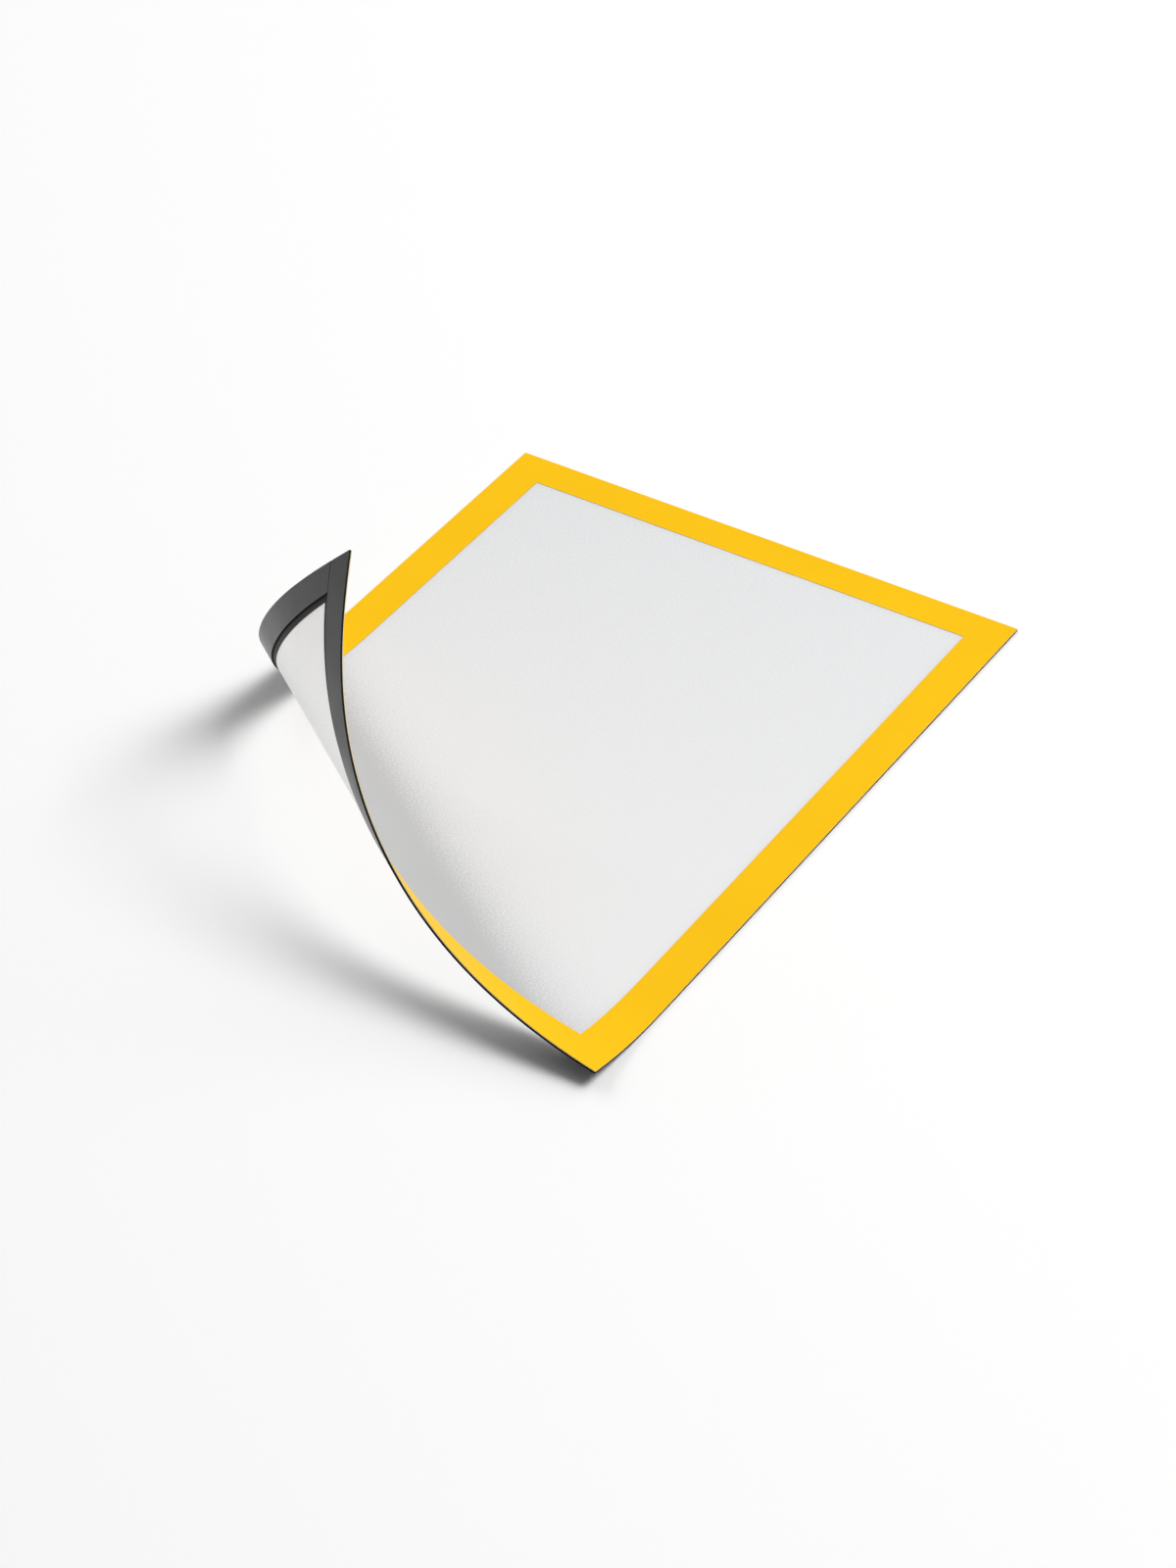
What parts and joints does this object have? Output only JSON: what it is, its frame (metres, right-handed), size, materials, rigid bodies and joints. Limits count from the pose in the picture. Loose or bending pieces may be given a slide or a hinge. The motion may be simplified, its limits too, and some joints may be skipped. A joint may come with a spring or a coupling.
{
  "type": "magnetic display frame",
  "caption": "Flexible magnetic display frame: matt window film with a coloured rim and black magnetic strips behind it, one corner rolled up.",
  "frame": {"origin": "on the back of the top magnetic strip, at the middle of its length", "axes": "+X along the sheet's width from the rolled corner's side, +Y up the sheet towards its top edge, +Z out of its front; the back of the strips lies at Z = 0"},
  "size_m": [0.2366, 0.3223, 0.116],
  "materials": {
    "rim_foil": "satin",
    "window_film": "matte",
    "backing": "matte",
    "magnet": "matte"
  },
  "bodies": {
    "flat_sheet": {"rim_foil_flat": "rim_foil", "window_film_flat": "window_film", "rim_backing_flat": "backing", "magnet_strip_top": "magnet", "magnet_strip_left_flat": "magnet", "magnet_strip_right_flat": "magnet"},
    "roll_part_1": {"window_film_1": "window_film", "rim_foil_left_1": "rim_foil", "rim_backing_left_1": "backing", "rim_foil_right_1": "rim_foil", "rim_backing_right_1": "backing", "magnet_strip_left_1": "magnet", "magnet_strip_right_1": "magnet"},
    "roll_part_2": {"window_film_2": "window_film", "rim_foil_left_2": "rim_foil", "rim_backing_left_2": "backing", "rim_foil_right_corner": "rim_foil", "rim_backing_right_corner": "backing", "magnet_strip_left_2": "magnet", "magnet_strip_bottom_2": "magnet", "magnet_strip_right_2": "magnet"},
    "roll_part_3": {"window_film_3": "window_film", "rim_foil_left_3": "rim_foil", "rim_backing_left_3": "backing", "rim_foil_bottom_3": "rim_foil", "rim_backing_bottom_3": "backing", "magnet_strip_left_3": "magnet", "magnet_strip_bottom_3": "magnet"},
    "roll_part_4": {"window_film_4": "window_film", "rim_foil_left_4": "rim_foil", "rim_backing_left_4": "backing", "rim_foil_bottom_4": "rim_foil", "rim_backing_bottom_4": "backing", "magnet_strip_left_4": "magnet", "magnet_strip_bottom_4": "magnet"},
    "roll_part_5": {"window_film_5": "window_film", "rim_foil_left_5": "rim_foil", "rim_backing_left_5": "backing", "rim_foil_bottom_5": "rim_foil", "rim_backing_bottom_5": "backing", "magnet_strip_left_5": "magnet", "magnet_strip_bottom_5": "magnet"},
    "roll_part_6": {"window_film_6": "window_film", "rim_foil_left_6": "rim_foil", "rim_backing_left_6": "backing", "rim_foil_bottom_6": "rim_foil", "rim_backing_bottom_6": "backing", "magnet_strip_left_6": "magnet", "magnet_strip_bottom_6": "magnet"},
    "roll_part_7": {"window_film_7": "window_film", "rim_foil_corner": "rim_foil", "rim_backing_corner": "backing", "magnet_strip_left_7": "magnet", "magnet_strip_bottom_7": "magnet"}
  },
  "joints": [
    {"name": "corner_bend_1", "type": "hinge", "parent": "flat_sheet", "child": "roll_part_1", "pos_m": [-0.02168, -0.18539, 0], "axis": [-0.8598, 0.5106, 0], "range_deg": [-1.59, 0]},
    {"name": "corner_bend_2", "type": "hinge", "parent": "roll_part_1", "child": "roll_part_2", "pos_m": [-0.02998, -0.19658, 0.00037], "axis": [-0.8456, 0.5338, -0.0007], "range_deg": [-12.95, 0]},
    {"name": "corner_roll", "type": "hinge", "parent": "roll_part_2", "child": "roll_part_3", "pos_m": [-0.04352, -0.21448, 0.00613], "axis": [-0.8213, 0.5704, -0.0121], "range_deg": [-24.75, 0]},
    {"name": "corner_bend_4", "type": "hinge", "parent": "roll_part_3", "child": "roll_part_4", "pos_m": [-0.05557, -0.23042, 0.02238], "axis": [-0.7975, 0.6017, -0.044], "range_deg": [-26.24, 0]},
    {"name": "corner_bend_5", "type": "hinge", "parent": "roll_part_4", "child": "roll_part_5", "pos_m": [-0.0622, -0.23863, 0.04532], "axis": [-0.7825, 0.6163, -0.0889], "range_deg": [-24.8, 0]},
    {"name": "corner_bend_6", "type": "hinge", "parent": "roll_part_5", "child": "roll_part_6", "pos_m": [-0.06245, -0.23845, 0.07038], "axis": [-0.7781, 0.6129, -0.1374], "range_deg": [-20.05, 0]},
    {"name": "corner_bend_7", "type": "hinge", "parent": "roll_part_6", "child": "roll_part_7", "pos_m": [-0.05734, -0.23202, 0.09323], "axis": [-0.7824, 0.596, -0.1807], "range_deg": [-12.09, 0]}
  ],
  "couplings": [
    {"joint": "corner_bend_1", "follows": "corner_roll", "ratio": 0.0622},
    {"joint": "corner_bend_2", "follows": "corner_roll", "ratio": 0.5212},
    {"joint": "corner_bend_4", "follows": "corner_roll", "ratio": 1.0582},
    {"joint": "corner_bend_5", "follows": "corner_roll", "ratio": 1.0002},
    {"joint": "corner_bend_6", "follows": "corner_roll", "ratio": 0.8081},
    {"joint": "corner_bend_7", "follows": "corner_roll", "ratio": 0.4865}
  ]
}
